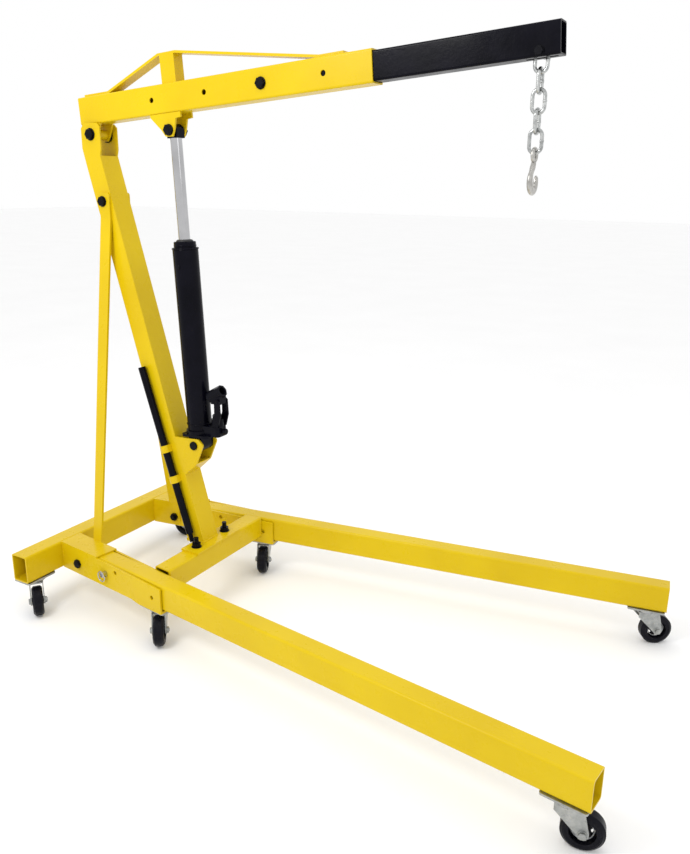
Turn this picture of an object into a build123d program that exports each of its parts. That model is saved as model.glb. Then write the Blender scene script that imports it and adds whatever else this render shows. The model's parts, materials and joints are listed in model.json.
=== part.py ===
"""Folding-base engine hoist: splayed legs in sockets, leaning mast, hydraulic ram, boom with a
sliding extension, chain and hook, on six swivel casters.

Millimetres. +X runs forward along the legs, +Y is the hoist's left, +Z is up. The origin is on the
floor under the middle of the hoist. "right" is the -Y side and "left" is the +Y side.
"""
from build123d import *
import os
from math import cos, hypot, radians, sin, tan

os.makedirs("parts", exist_ok=True)

# ---------------------------------------------------------------- driving dimensions
seat_gap = 0.3              # standing gap between pieces that may turn or slide on each other
pin_play = 0.05             # radial running clearance of a pin in its bore

# wheels and casters
wheel_r = 44.5
wheel_width = 30.0
caster_trail = 33.0
rear_mount_z = 113.0        # underside of the rear beam
socket_floor_plate = 6.0
leg_lift = 4.0              # the leg's underside over the socket's floor plate
caster_plate_long = 100.0
caster_plate_wide = 66.0
caster_plate_thick = 5.0
caster_bolt_long = 76.0
caster_bolt_wide = 40.0
caster_bolt_hole_r = 4.5

# rear beam and cross beam
beam_depth = 60.0
beam_height = 85.0
beam_wall = 4.0
beam_half = 375.0
cross_depth = 60.0
cross_height = 70.0
cross_front = 417.0         # cross beam's front face, ahead of the rear beam's front face
corner_r = 6.0

# legs and sockets
leg_length = 1681.0         # leg's axis from the rear beam's front face to the tip
leg_width = 57.0
leg_height = 76.0
leg_wall = 4.0
leg_splay = 7.9             # degrees to each side
leg_spread = 204.0          # leg's axis from the middle plane at the rear beam's front face
socket_plate = 6.0
socket_side_gap = 2.0
socket_length = 458.0
socket_front_drop = 10.0    # the side plates' top edge falls this much to the front
cover_length = 178.0
cover_thick = 5.0
floor_plate_length = 98.0
socket_bolt_at = 84.0
socket_bolt_z = 148.0
socket_bolt_r = 8.0
roller_r = 44.5
roller_width = 44.0
hitch_at = 218.0
hitch_z = 158.0
hitch_r = 6.0
hitch_play = 0.4
spare_hole_r = 6.5
spare_holes = ((263.0, 173.0), (422.0, 148.0))

# mast
mast_lean = 15.7            # degrees back from upright
mast_depth = 60.0
mast_width = 70.0
mast_wall = 4.0
foot_plate_thick = 6.0
foot_plate_long = 66.0
foot_plate_half = 103.0
foot_tail_half = 38.0       # plate's tail behind the cross beam, under the mast
foot_bolt_y = 68.0
mast_front_set_back = 30.0  # mast's front face behind the cross beam's front face, at the foot plate
mast_front_top_z = 1327.0   # top of the mast's front wall
ear_top = 30.0              # ears above the boom pivot
ear_half = 36.0
pivot_x = 40.0              # boom pivot, ahead of the rear beam's front face
pivot_z = 1384.0
pivot_r = 8.0
spacer_r = 20.0
strut_bolt_x = 75.0
strut_bolt_z = 1202.0
strut_width = 38.0
strut_thick = 7.0
strut_head_x = 82.0         # strut's middle at its upper end

# boom and extension
boom_angle = 4.4            # degrees above level at rest
boom_height = 74.0
boom_width = 52.0
boom_wall = 3.5
boom_length = 939.0
boom_tail = 40.5            # boom behind its pivot
boom_over_pivot = 27.5      # underside of the boom over the pivot's centre
extension_play = 0.4
extension_height = 66.0
extension_wall = 3.5
extension_length = 787.0
extension_inside = 359.0    # overlap of the extension in the boom at rest
hole_first = 272.0          # first lock hole from the boom's tail
hole_pitch = 179.0
hole_count = 4
lock_hole = 2               # index of the hole that holds the lock bolt
lock_r = 7.0
brace_width = 36.0
brace_thick = 6.0

# ram
ram_low_x = 366.0
ram_low_z = 512.0
ram_top_x = 322.0
ram_top_z = 1391.0
ram_pin_r = 10.0
ram_top_pin_r = 8.0
cylinder_r = 36.0
cylinder_wall = 6.0
cylinder_start = 45.0       # along the ram from its lower pin
cylinder_end = 567.0
collar_r = 31.0
collar_length = 21.0
rod_r = 16.0
rod_below = 330.0           # rod's lower end, this far under the collar's top at rest
bracket_plate = 6.0
tongue_play = 4.0           # each side of the rod's tongue, an open pivot

# chain and hook
link_wire_r = 4.0
link_pitch = 40.0
link_inner_width = 19.0
link_count = 5
chain_play = 0.15
chain_bolt_r = 5.0
chain_bolt_from_front = 44.0
chain_bolt_up = 11.0        # over the extension's underside
hook_r = 6.5
hook_eye_r = 12.5
hook_eye_wire = 4.5
hook_bowl_r = 22.0
hook_drop = 52.0            # bowl's middle under the eye's middle

# pump handle
handle_r = 11.0
handle_lean = 17.2          # degrees back from upright
handle_behind = 31.0        # its axis behind the mast's front face at the foot
handle_length = 550.0
handle_neck = 4.0           # the lower end is this much smaller in radius
handle_off = 3.0            # handle's skin off the mast's side
clip_places = (200.0, 296.0)         # along the handle from its lower end
clip_thick = 2.5
clip_height = 22.0

# swivel angles at rest: where each wheel trails, in degrees from +X
swivel_rest = {
    "rear_right": -38.0,
    "rear_left": 10.0,
    "middle_right": -54.0,
    "middle_left": -65.0,
    "front_right": 11.0,
    "front_left": 32.0,
}

# ---------------------------------------------------------------- derived places
splay = radians(leg_splay)
lean = radians(mast_lean)
rise = radians(boom_angle)
plate_overhang = (caster_plate_wide - beam_depth) / 2
leg_reach = leg_length * cos(splay) + leg_width / 2 * sin(splay)
leg_caster_at = leg_length - 4.0 - caster_plate_long / 2
front_swivel = radians(swivel_rest["front_right"])
wheel_reach = (caster_trail + wheel_r) * cos(front_swivel) + wheel_width / 2 * sin(front_swivel)
front_reach = max(leg_reach, leg_caster_at * cos(splay) + wheel_reach)
front_x = (beam_depth + plate_overhang - front_reach) / 2   # rear beam's front face
beam_top = rear_mount_z + beam_height
leg_bottom = rear_mount_z + leg_lift
leg_top = leg_bottom + leg_height
middle_mount_z = rear_mount_z - socket_floor_plate
cover_z = leg_top           # the cover bears on the leg
socket_half = leg_width / 2 + socket_side_gap + socket_plate
cross_x = front_x + cross_front
pivot = Vector(front_x + pivot_x, 0, pivot_z)
ram_low = Vector(front_x + ram_low_x, 0, ram_low_z)
ram_top = Vector(front_x + ram_top_x, 0, ram_top_z)
ram_length = hypot(ram_top_x - ram_low_x, ram_top_z - ram_low_z)
foot_z = beam_top + foot_plate_thick
mast_foot = Vector(cross_x - mast_front_set_back, 0, foot_z)
sides = {"right": -1, "left": 1}


# ---------------------------------------------------------------- planes and small shapes
def leg_plane(side):
    """On the floor at the leg's start: x along the leg, y to the hoist's left, z up."""
    return Plane(
        origin=(front_x, side * leg_spread, 0),
        x_dir=(cos(splay), side * sin(splay), 0),
        z_dir=(0, 0, 1),
    )


def leg_side_plane(side, y_local):
    """Upright plane along the leg: x along the leg, y up, facing the hoist's right."""
    base = leg_plane(side)
    return Plane(
        origin=base.from_local_coords((0, y_local, 0)),
        x_dir=base.x_dir,
        z_dir=-base.y_dir,
    )


def across(x, y, z, facing=-1):
    """Upright plane facing sideways, with x forward or back and z as its y."""
    return Plane(origin=(x, y, z), x_dir=(-facing, 0, 0), z_dir=(0, facing, 0))


mast_plane = Plane(                  # x along the mast, y forward out of its front face
    origin=mast_foot,
    x_dir=(-sin(lean), 0, cos(lean)),
    z_dir=(0, 1, 0),
)
boom_plane = Plane(                  # x along the boom from its tail, z square to its underside
    origin=pivot + Vector(
        -boom_tail * cos(rise) - boom_over_pivot * sin(rise),
        0,
        -boom_tail * sin(rise) + boom_over_pivot * cos(rise),
    ),
    x_dir=(cos(rise), 0, sin(rise)),
    z_dir=(-sin(rise), 0, cos(rise)),
)
ram_axis = (ram_top - ram_low).normalized()
ram_plane = Plane(                   # x forward of the ram, z along it, at its lower pin
    origin=ram_low,
    x_dir=(ram_axis.Z, 0, -ram_axis.X),
    z_dir=ram_axis,
)


def save(piece, name):
    piece.part.label = name
    export_step(piece.part, f"parts/{name}.step")


def moved(plane, x, y, z):
    """The same plane with its origin at a local point."""
    return Plane(origin=plane.from_local_coords((x, y, z)), x_dir=plane.x_dir, z_dir=plane.z_dir)


def hex_bolt(plane, shank_r, grip, across_flats, head, nut=True, tail=6.0):
    """Hex bolt along the plane's z: shank from 0 to the grip, head below 0, nut past the grip."""
    with BuildPart() as bolt:
        with BuildSketch(plane.offset(-head)):
            RegularPolygon(across_flats / 2, 6, major_radius=False)
        extrude(amount=head)
        chamfer(bolt.faces().sort_by(Axis(plane.origin, plane.z_dir))[0].edges(), head * 0.15)
        with BuildSketch(plane):
            Circle(shank_r)
        extrude(amount=grip + (head + tail if nut else 0))
        if nut:
            with BuildSketch(plane.offset(grip)):
                RegularPolygon(across_flats / 2, 6, major_radius=False)
            extrude(amount=head)
    return bolt


def box_tube(plane, length, width, height, wall, radius, start=0.0):
    """Rectangular tube along the plane's z, centred on its origin, x wide and y high."""
    with BuildPart() as tube:
        with BuildSketch(plane.offset(start)):
            RectangleRounded(width, height, radius)
            RectangleRounded(width - 2 * wall, height - 2 * wall, radius - wall / 2, mode=Mode.SUBTRACT)
        extrude(amount=length)
    return tube


# ---------------------------------------------------------------- rear beam and cross beam
def caster_bolt_holes(plane, depth):
    with Locations(plane):
        with GridLocations(caster_bolt_long, caster_bolt_wide, 2, 2):
            Cylinder(caster_bolt_hole_r, depth, mode=Mode.SUBTRACT)


rear_caster_y = beam_half - caster_plate_long / 2
rear_caster_x = front_x - beam_depth / 2


def rear_beam():
    middle = Plane(
        origin=(rear_caster_x, -beam_half, rear_mount_z + beam_height / 2),
        x_dir=(1, 0, 0),
        z_dir=(0, 1, 0),
    )
    with BuildPart() as beam:
        add(box_tube(middle, 2 * beam_half, beam_depth, beam_height, beam_wall, corner_r).part)
        for y in (-rear_caster_y, rear_caster_y):
            under = Plane(origin=(rear_caster_x, y, rear_mount_z), x_dir=(0, 1, 0), z_dir=(0, 0, 1))
            caster_bolt_holes(under, 3 * beam_wall)
    return beam


save(rear_beam(), "rear_beam")


def cross_beam():
    """Runs between the two sockets, cut to their splayed inner faces."""
    reach = leg_spread + cross_front * tan(splay)
    middle = Plane(
        origin=(cross_x - cross_depth / 2, -reach, beam_top - cross_height / 2),
        x_dir=(1, 0, 0),
        z_dir=(0, 1, 0),
    )
    with BuildPart() as beam:
        add(box_tube(middle, 2 * reach, cross_depth, cross_height, beam_wall, corner_r).part)
        for side in sides.values():
            base = leg_plane(side)
            inner = base.from_local_coords((0, -side * socket_half, 0))
            split(bisect_by=Plane(origin=inner, z_dir=base.y_dir * -side), keep=Keep.TOP)
    return beam


save(cross_beam(), "cross_beam")


# ---------------------------------------------------------------- sockets and legs
def socket(side):
    """Two side plates, a cover at the back and a floor plate at the front."""
    end = socket_length
    floor_start = end - floor_plate_length
    outline = (
        (-20, rear_mount_z),
        (-20, cover_z),
        (cover_length, cover_z),
        (end, cover_z - socket_front_drop),
        (end, middle_mount_z),
        (floor_start, middle_mount_z),
        (floor_start - 30, rear_mount_z),
    )
    base = leg_plane(side)
    with BuildPart() as part:
        for y_local in (socket_half, -socket_half + socket_plate):
            with BuildSketch(leg_side_plane(side, y_local)):
                Polygon(*outline, align=None)
                with Locations((socket_bolt_at, socket_bolt_z)):
                    Circle(socket_bolt_r + pin_play, mode=Mode.SUBTRACT)
                with Locations((hitch_at, hitch_z)):
                    Circle(hitch_r + hitch_play, mode=Mode.SUBTRACT)
                with Locations(*spare_holes):
                    Circle(spare_hole_r, mode=Mode.SUBTRACT)
            extrude(amount=socket_plate)
        with BuildSketch(moved(base, 0, 0, cover_z)):
            with Locations(((cover_length - 20) / 2, 0)):
                Rectangle(cover_length + 20, 2 * socket_half)
        extrude(amount=cover_thick)
        with BuildSketch(moved(base, 0, 0, middle_mount_z)):
            with Locations((end - floor_plate_length / 2, 0)):
                Rectangle(floor_plate_length, 2 * (socket_half - socket_plate))
        extrude(amount=socket_floor_plate)
        under = moved(base, end - floor_plate_length / 2, 0, middle_mount_z)
        caster_bolt_holes(under, 3 * socket_floor_plate)
        split(bisect_by=Plane.YZ.offset(front_x), keep=Keep.TOP)
    return part


leg_start = socket_bolt_at + roller_r + 3.0


def leg(side):
    """Rectangular tube, open at both ends, with the hitch pin's hole and the caster's holes."""
    base = leg_plane(side)
    middle = Plane(
        origin=base.from_local_coords((leg_start, 0, leg_bottom + leg_height / 2)),
        x_dir=base.y_dir,
        z_dir=base.x_dir,
    )
    with BuildPart() as part:
        add(box_tube(middle, leg_length - leg_start, leg_width, leg_height, leg_wall, corner_r).part)
        with BuildSketch(leg_side_plane(side, leg_width)):
            with Locations((hitch_at, hitch_z)):
                Circle(hitch_r + hitch_play)
        extrude(amount=2 * leg_width, mode=Mode.SUBTRACT)
        caster_bolt_holes(moved(base, leg_caster_at, 0, leg_bottom), 3 * leg_wall)
    return part


def socket_roller(side):
    """Grey roller on the socket's rear bolt."""
    with BuildPart() as part:
        with BuildSketch(leg_side_plane(side, roller_width / 2)):
            with Locations((socket_bolt_at, socket_bolt_z)):
                Circle(roller_r)
        extrude(amount=roller_width)
        chamfer(part.edges().filter_by(GeomType.CIRCLE), 2.0)
        hub = socket_half - socket_plate - seat_gap
        with BuildSketch(leg_side_plane(side, hub)):
            with Locations((socket_bolt_at, socket_bolt_z)):
                Circle(18.0)
        extrude(amount=2 * hub)
        with BuildSketch(leg_side_plane(side, hub + 1)):
            with Locations((socket_bolt_at, socket_bolt_z)):
                Circle(socket_bolt_r + 2 * pin_play)
        extrude(amount=2 * hub + 2, mode=Mode.SUBTRACT)
    return part


hitch_head_r = 9.0
hitch_head = 15.0
hitch_tail = 8.0
ring_r = 15.0
ring_wire_r = 2.0
ring_at = 8.0               # the ring's hole, out from the socket's face
ring_droop = 45.0           # degrees the ring hangs below straight back


def hitch_plane(side):
    """At the outer face of the socket's outer plate: x rearward and down to the ring, z outward."""
    base = leg_plane(side)
    at = base.from_local_coords((hitch_at, side * socket_half, hitch_z))
    droop = radians(ring_droop)
    return Plane(origin=at, x_dir=base.x_dir * -cos(droop) - base.z_dir * sin(droop), z_dir=base.y_dir * side)


def hitch_pin(side):
    """Plain pin with a cross-drilled head, pushed in from outside."""
    plane = hitch_plane(side)
    along = Axis(plane.origin, plane.z_dir)
    inner = 2 * socket_half + hitch_tail
    with BuildPart() as part:
        with BuildSketch(plane.offset(-inner)):
            Circle(hitch_r)
        extrude(amount=inner + 2)
        chamfer(part.edges().filter_by(GeomType.CIRCLE).sort_by(along)[0], 2.0)
        with BuildSketch(plane.offset(seat_gap)):
            Circle(hitch_head_r)
        extrude(amount=hitch_head)
        chamfer(part.edges().filter_by(GeomType.CIRCLE).sort_by(along)[-1], 1.5)
        middle = plane.offset(ring_at)
        for way in (-1, 1):
            with Locations(Plane(origin=middle.origin, x_dir=middle.z_dir, z_dir=middle.y_dir * way)):
                Cone(2.3, 6.0, hitch_head_r + 1, align=(Align.CENTER, Align.CENTER, Align.MIN), mode=Mode.SUBTRACT)
    return part


def hitch_ring(side):
    """Split ring through the pin's head, hanging back and down beside the socket."""
    plane = hitch_plane(side)
    with BuildPart() as part:
        with Locations(moved(plane, ring_r, 0, ring_at)):
            Torus(ring_r, ring_wire_r)
    return part


for side_name, side in sides.items():
    save(socket(side), f"socket_{side_name}")
    save(leg(side), f"leg_{side_name}")
    save(socket_roller(side), f"socket_roller_{side_name}")
    save(hitch_pin(side), f"hitch_pin_{side_name}")
    save(hitch_ring(side), f"hitch_ring_{side_name}")


# ---------------------------------------------------------------- mast, struts and foot
mast_length = (mast_front_top_z - foot_z) / cos(lean)


def mast_profile_x(z, back=0.0):
    """World X of the mast's front face at a height, or of a line behind it."""
    return mast_foot.X - (z - foot_z) * tan(lean) - back / cos(lean)


def mast():
    """Leaning box tube whose side walls run up into two ears for the boom pivot."""
    top = pivot_z + ear_top
    side_view = Plane(origin=(0, mast_width / 2, 0), x_dir=(1, 0, 0), z_dir=(0, -1, 0))
    ear_low = mast_front_top_z
    outer = (
        (mast_profile_x(foot_z), foot_z),
        (mast_profile_x(ear_low), ear_low),
        (pivot.X + ear_half, ear_low + 18),
        (pivot.X + ear_half, top - 10),
        (pivot.X + ear_half - 10, top),
        (pivot.X - ear_half + 12, top),
        (pivot.X - ear_half, top - 14),
        (pivot.X - ear_half, ear_low + 20),
        (mast_profile_x(ear_low - 20, mast_depth), ear_low - 20),
        (mast_profile_x(foot_z, mast_depth), foot_z),
    )
    with BuildPart() as part:
        with BuildSketch(side_view):
            Polygon(*outer, align=None)
        extrude(amount=mast_width)
        inner = mast_width / 2 - mast_wall
        with BuildSketch(side_view.offset(mast_wall)):
            Polygon(
                (mast_profile_x(foot_z - 50, mast_wall), foot_z - 50),
                (mast_profile_x(ear_low + 9, mast_wall), ear_low + 9),
                (mast_profile_x(ear_low + 9, mast_depth - mast_wall), ear_low + 9),
                (mast_profile_x(foot_z - 50, mast_depth - mast_wall), foot_z - 50),
                align=None,
            )
        extrude(amount=2 * inner, mode=Mode.SUBTRACT)
        with BuildSketch(side_view.offset(mast_wall)):
            with Locations((pivot.X, ear_low + 100)):
                Rectangle(300, 200)
        extrude(amount=2 * inner, mode=Mode.SUBTRACT)
        for x, z, r in (
            (pivot.X, pivot.Z, pivot_r + pin_play),
            (front_x + strut_bolt_x, strut_bolt_z, socket_bolt_r + pin_play),
        ):
            with BuildSketch(side_view.offset(-5)):
                with Locations((x, z)):
                    Circle(r)
            extrude(amount=mast_width + 10, mode=Mode.SUBTRACT)
    return part


def foot_plate():
    """Bolted plate on the cross beam, with a tail back under the mast."""
    front = cross_x + 4
    back = mast_profile_x(foot_z, mast_depth) - 3
    with BuildPart() as part:
        with BuildSketch(Plane.XY.offset(beam_top)):
            with Locations((front - foot_plate_long / 2, 0)):
                Rectangle(foot_plate_long, 2 * foot_plate_half)
            with Locations(((front + back) / 2, 0)):
                Rectangle(front - back, 2 * foot_tail_half)
        extrude(amount=foot_plate_thick)
        fillet(part.edges().filter_by(Axis.Z), 3.0)
    return part


def foot_bolts():
    """Two studs out of the cross beam, with nuts on the foot plate."""
    with BuildPart() as part:
        for y in (-foot_bolt_y, foot_bolt_y):
            plane = Plane(origin=(cross_x - cross_depth / 2, y, foot_z), x_dir=(1, 0, 0), z_dir=(0, 0, 1))
            with BuildSketch(plane):
                RegularPolygon(12.0, 6, major_radius=False)
            extrude(amount=13.0)
            with BuildSketch(plane):
                Circle(7.0)
            extrude(amount=30.0)
    return part


strut_upper_y = mast_width / 2


def strut(side):
    """Flat bar from the mast's side down to the socket's inner plate, bent flat at both ends."""
    base = leg_plane(side)
    foot_y = -side * (socket_half + strut_thick / 2)
    foot_dir = base.x_dir
    head_x = front_x + strut_head_x
    tab_top = strut_bolt_z + 24
    tab_low = strut_bolt_z - 46
    face = side * strut_upper_y + (strut_thick if side > 0 else 0)
    with BuildPart() as part:
        with BuildSketch(Plane(origin=(head_x, face, 0), x_dir=(1, 0, 0), z_dir=(0, -1, 0))):
            with Locations((0, (tab_top + tab_low) / 2)):
                Rectangle(strut_width, tab_top - tab_low)
            with Locations((strut_bolt_x - strut_head_x, strut_bolt_z)):
                Circle(socket_bolt_r + pin_play, mode=Mode.SUBTRACT)
        extrude(amount=strut_thick)
        fillet(part.edges().filter_by(Axis.Y).group_by(Axis.Z)[-1], 8.0)
        bend = Plane(origin=(head_x, side * (strut_upper_y + strut_thick / 2), tab_low), z_dir=(0, 0, 1))
        with BuildSketch(bend):
            Rectangle(strut_width, strut_thick)
        foot = base.from_local_coords((socket_bolt_at, foot_y, beam_top))
        with BuildSketch(Plane(origin=foot, x_dir=foot_dir, z_dir=(0, 0, 1))):
            Rectangle(strut_width, strut_thick)
        loft()
        with BuildSketch(Plane(origin=foot, x_dir=foot_dir, z_dir=(0, 0, 1))):
            Rectangle(strut_width, strut_thick)
        extrude(amount=-(beam_top - socket_bolt_z + strut_width / 2))
        with BuildSketch(leg_side_plane(side, foot_y + strut_thick)):
            with Locations((socket_bolt_at, socket_bolt_z)):
                Circle(socket_bolt_r + pin_play)
        extrude(amount=2 * strut_thick, mode=Mode.SUBTRACT)
    return part


def side_bolts():
    """Hex bolts: one through the mast and both struts, one through each socket's roller."""
    with BuildPart() as part:
        grip = 2 * (strut_upper_y + strut_thick)
        add(hex_bolt(
            across(front_x + strut_bolt_x, -grip / 2, strut_bolt_z, 1),
            socket_bolt_r, grip, 24.0, 9.0,
        ).part)
        for side in sides.values():
            at = Plane(
                origin=leg_plane(side).from_local_coords((socket_bolt_at, side * socket_half, socket_bolt_z)),
                x_dir=leg_plane(side).x_dir,
                z_dir=leg_plane(side).y_dir * -side,
            )
            add(hex_bolt(at, socket_bolt_r, 2 * socket_half + strut_thick, 24.0, 9.0).part)
    return part


def pivot_bolt():
    """Hex bolt through the ears, with a black spacer between each ear and the boom's lug."""
    plane = across(pivot.X, -mast_width / 2, pivot.Z, 1)
    inner = mast_width / 2 - mast_wall
    with BuildPart() as part:
        add(hex_bolt(plane, pivot_r, mast_width, 26.0, 10.0).part)
        for start in (-inner, boom_width / 2 + seat_gap):
            with BuildSketch(across(pivot.X, start, pivot.Z, 1)):
                Circle(spacer_r)
            extrude(amount=inner - boom_width / 2 - seat_gap)
    return part


save(mast(), "mast")
save(foot_plate(), "foot_plate")
save(foot_bolts(), "foot_bolts")
for side_name, side in sides.items():
    save(strut(side), f"strut_{side_name}")
save(side_bolts(), "side_bolts")
save(pivot_bolt(), "pivot_bolt")


# ---------------------------------------------------------------- ram's lower bracket
def ram_lower_bracket():
    """Two plates on the mast's front face with a short web across their lower edge."""
    side_view = Plane(origin=(0, mast_width / 2, 0), x_dir=(1, 0, 0), z_dir=(0, -1, 0))
    low_z = ram_low_z - 98
    knee = (ram_low.X + 6, ram_low_z - 58)
    nose = (ram_low.X + 34, ram_low_z + 5)
    crown = (ram_low.X + 16, ram_low_z + 22)
    top_z = ram_low_z + 16
    outline = (
        (mast_profile_x(low_z), low_z),
        knee,
        nose,
        crown,
        (mast_profile_x(top_z), top_z),
    )
    inner = mast_width / 2 - bracket_plate
    with BuildPart() as part:
        with BuildSketch(side_view):
            Polygon(*outline, align=None)
            with Locations((ram_low.X, ram_low.Z)):
                Circle(ram_pin_r + pin_play, mode=Mode.SUBTRACT)
        extrude(amount=mast_width)
        fillet(part.edges().filter_by(Axis.Y).sort_by(Axis.X)[-2:], 9.0)
        with BuildSketch(side_view.offset(bracket_plate)):
            Polygon(
                (mast_profile_x(low_z) - 20, ram_low_z - 54),
                (knee[0] + 60, ram_low_z - 54),
                (nose[0] + 20, top_z + 40),
                (mast_profile_x(top_z) - 60, top_z + 40),
                align=None,
            )
        extrude(amount=2 * inner, mode=Mode.SUBTRACT)
        with BuildSketch(side_view.offset(bracket_plate)):
            Polygon(
                (mast_profile_x(low_z) - 30, low_z),
                (mast_profile_x(low_z) - 4, low_z + 3),
                (knee[0] - 9, ram_low_z - 50),
                (knee[0] - 60, ram_low_z - 50),
                align=None,
            )
        extrude(amount=2 * inner, mode=Mode.SUBTRACT)
    return part


def ram_lower_pin():
    plane = across(ram_low.X, -mast_width / 2, ram_low.Z, 1)
    with BuildPart() as part:
        with BuildSketch(plane.offset(-5)):
            Circle(13.0)
        extrude(amount=5)
        with BuildSketch(plane):
            Circle(ram_pin_r)
        extrude(amount=mast_width)
        with BuildSketch(plane.offset(mast_width)):
            Circle(13.0)
        extrude(amount=5)
        fillet(part.edges().filter_by(GeomType.CIRCLE).sort_by(Axis.Y)[0], 1.5)
    return part


save(ram_lower_bracket(), "ram_lower_bracket")
save(ram_lower_pin(), "ram_lower_pin")


# ---------------------------------------------------------------- stowed pump handle
handle_y = -(mast_width / 2 + handle_off + handle_r)
handle_tilt = radians(handle_lean)
handle_axis_plane = Plane(
    origin=(
        mast_foot.X - handle_behind / cos(lean),
        handle_y,
        foot_z + seat_gap + (handle_r - handle_neck) * sin(handle_tilt),
    ),
    x_dir=(cos(handle_tilt), 0, sin(handle_tilt)),
    z_dir=(-sin(handle_tilt), 0, cos(handle_tilt)),
)


def pump_handle():
    """Round bar, necked at its lower end, stowed in two clips on the mast's right side."""
    neck = 26.0
    with BuildPart() as part:
        with BuildSketch(handle_axis_plane.offset(neck)):
            Circle(handle_r)
        extrude(amount=handle_length - neck)
        fillet(part.edges().filter_by(GeomType.CIRCLE), 1.5)
        with BuildSketch(handle_axis_plane):
            Circle(handle_r - handle_neck)
        extrude(amount=neck + 2)
    return part


def handle_clips():
    """Bent straps that hold the handle on the mast's side."""
    with BuildPart() as part:
        for place in clip_places:
            level = handle_axis_plane.offset(place - clip_height / 2)
            mast_side = -handle_y - mast_width / 2
            outer = handle_r + seat_gap + clip_thick
            with BuildSketch(level):
                with Locations((0, mast_side / 2)):
                    Rectangle(2 * outer, mast_side)
                Circle(outer)
                Circle(handle_r + seat_gap, mode=Mode.SUBTRACT)
                with Locations((0, mast_side / 2)):
                    Rectangle(2 * (handle_r + seat_gap), mast_side, mode=Mode.SUBTRACT)
            extrude(amount=clip_height)
    return part


save(pump_handle(), "pump_handle")
save(handle_clips(), "handle_clips")


# ---------------------------------------------------------------- casters
def caster_places():
    """Name, swivel axis, mounting height, plate direction of each caster."""
    places = {}
    for side_name, side in sides.items():
        base = leg_plane(side)
        axis = Vector(rear_caster_x, side * rear_caster_y, 0)
        places[f"rear_{side_name}"] = (axis, rear_mount_z, Vector(0, 1, 0))
        axis = base.from_local_coords((socket_length - floor_plate_length / 2, 0, 0))
        places[f"middle_{side_name}"] = (axis, middle_mount_z, base.x_dir)
        axis = base.from_local_coords((leg_caster_at, 0, 0))
        places[f"front_{side_name}"] = (axis, leg_bottom, base.x_dir)
    return places


king_pin_r = 6.0
race_r = 27.0
race_height = 6.0
crown_thick = 4.0
fork_plate = 3.0
fork_play = 2.0
axle_r = 5.0
nut_size = 15.0


def caster_plates():
    """One bolted top plate with its king pin over each fork."""
    with BuildPart() as part:
        for axis, mount_z, long_dir in caster_places().values():
            plane = Plane(
                origin=axis + Vector(0, 0, mount_z - caster_plate_thick),
                x_dir=long_dir,
                z_dir=(0, 0, 1),
            )
            with BuildSketch(plane):
                RectangleRounded(caster_plate_long, caster_plate_wide, 6)
                with GridLocations(caster_bolt_long, caster_bolt_wide, 2, 2):
                    Circle(caster_bolt_hole_r, mode=Mode.SUBTRACT)
            extrude(amount=caster_plate_thick)
            with BuildSketch(plane):
                Circle(king_pin_r)
            extrude(amount=-(race_height + crown_thick + 2 * seat_gap))
            with BuildSketch(plane.offset(-(race_height + crown_thick + 2 * seat_gap))):
                Circle(king_pin_r + 3)
            extrude(amount=-3)
    return part


def trail_plane(name):
    """At the wheel's axle: x where the wheel trails, y across it, z up."""
    axis = caster_places()[name][0]
    angle = radians(swivel_rest[name])
    trail = Vector(cos(angle), sin(angle), 0)
    return Plane(origin=axis + trail * caster_trail + Vector(0, 0, wheel_r), x_dir=trail, z_dir=(0, 0, 1))


def caster_fork(name):
    """Pressed fork: race, crown, two tapering side plates, and the axle bolt across them."""
    axis, mount_z, _ = caster_places()[name]
    plane = trail_plane(name)
    inner = wheel_width / 2 + fork_play
    race_top = mount_z - caster_plate_thick - seat_gap
    crown_top = race_top - race_height
    level = Plane(origin=axis, x_dir=plane.x_dir, z_dir=(0, 0, 1))
    top = crown_top - wheel_r
    cheek = (
        (-caster_trail - race_r + 1, top),
        (-caster_trail + race_r + 5, top),
        (12, 6),
        (12, -3),
        (7, -11),
        (-7, -11),
        (-12, -3),
        (-caster_trail - race_r + 1, top - 16),
    )
    with BuildPart() as part:
        with BuildSketch(level.offset(crown_top)):
            Circle(race_r)
            Circle(king_pin_r + 0.3, mode=Mode.SUBTRACT)
        extrude(amount=race_height)
        with BuildSketch(level.offset(crown_top - crown_thick)):
            with Locations((2.5, 0)):
                RectangleRounded(2 * race_r + 4, 2 * (inner + fork_plate), 8)
            Circle(king_pin_r + 0.3, mode=Mode.SUBTRACT)
        extrude(amount=crown_thick)
        for side in (-1, 1):
            origin = plane.origin + plane.y_dir * side * (inner if side < 0 else inner + fork_plate)
            with BuildSketch(Plane(origin=origin, x_dir=plane.x_dir, z_dir=-plane.y_dir)):
                Polygon(*cheek, align=None)
                Circle(axle_r + pin_play, mode=Mode.SUBTRACT)
            extrude(amount=fork_plate)
    grip = 2 * (inner + fork_plate)
    side_plane = Plane(origin=plane.origin - plane.y_dir * grip / 2, x_dir=plane.x_dir, z_dir=plane.y_dir)
    axle = hex_bolt(side_plane, axle_r, grip, nut_size, 6.0, tail=2.0)
    with BuildPart() as both:
        add(part.part)
        add(axle.part)
    return both


tyre_inner_r = 31.0


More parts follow.
